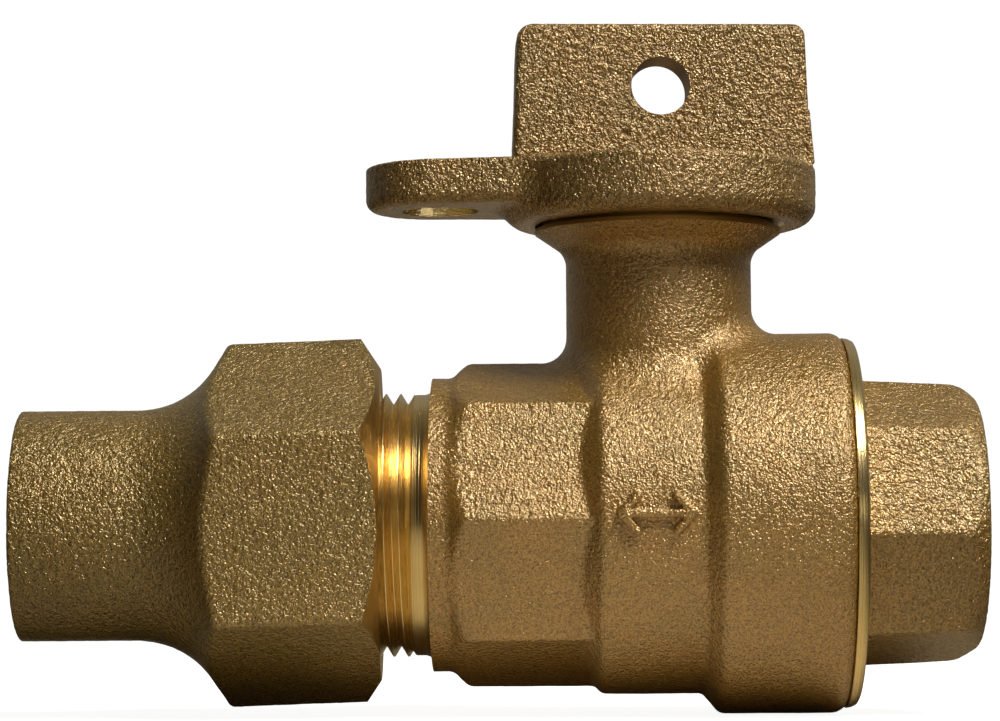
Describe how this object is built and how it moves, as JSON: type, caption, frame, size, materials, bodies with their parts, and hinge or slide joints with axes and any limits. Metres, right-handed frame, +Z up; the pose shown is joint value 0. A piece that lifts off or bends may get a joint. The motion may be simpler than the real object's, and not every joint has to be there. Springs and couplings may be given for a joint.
{
  "type": "ball valve",
  "caption": "Cast bronze quarter-turn service ball valve with flare nut inlet, female pipe outlet, tee-head operator and padlock wings.",
  "frame": {"origin": "centre of the ball, where the flow axis meets the stem axis", "axes": "+X along the flow from the flare nut towards the female pipe end, +Z up the stem to the tee head, +Y away from the tee head's front face"},
  "size_m": [0.1182, 0.06, 0.0854],
  "materials": {
    "cast_bronze": "fine sand-cast bronze, machined threads and faces",
    "cast_bronze_cap": "coarse sand-cast bronze, drilled holes bright",
    "cast_bronze_nut": "coarse sand-cast bronze, machined mouth and thread",
    "machined_brass": "turned brass",
    "plated_ball": "polished and plated",
    "white_ptfe": "smooth satin PTFE",
    "black_rubber": "moulded, matt",
    "pin_steel": "ground stainless"
  },
  "bodies": {
    "housing": {"valve_body": "cast_bronze", "end_piece": "cast_bronze", "end_piece_oring": "black_rubber", "flare_side_seat": "white_ptfe", "flare_side_seat_oring": "black_rubber", "pipe_side_seat": "white_ptfe", "pipe_side_seat_oring": "black_rubber"},
    "operator": {"lockwing_cap": "cast_bronze_cap", "cap_pin": "pin_steel", "stem": "machined_brass", "stem_thrust_washer": "white_ptfe", "stem_oring_lower": "black_rubber", "stem_oring_upper": "black_rubber"},
    "obturator": {"ball": "plated_ball"},
    "inlet_nut": {"flare_nut": "cast_bronze_nut"}
  },
  "joints": [
    {"name": "operator_turn", "type": "hinge", "parent": "housing", "child": "operator", "pos_m": [0, 0, 0.0373], "axis": [0, 0, -1], "range_deg": [0, 93]},
    {"name": "ball_turn", "type": "hinge", "parent": "housing", "child": "obturator", "pos_m": [0, 0, 0], "axis": [0, 0, -1], "range_deg": [0, 93]},
    {"name": "nut_back_off", "type": "slide", "parent": "housing", "child": "inlet_nut", "axis": [-1, 0, 0], "range_m": [-0.0054, 0.016]}
  ],
  "couplings": [
    {"joint": "ball_turn", "follows": "operator_turn", "ratio": 1}
  ]
}
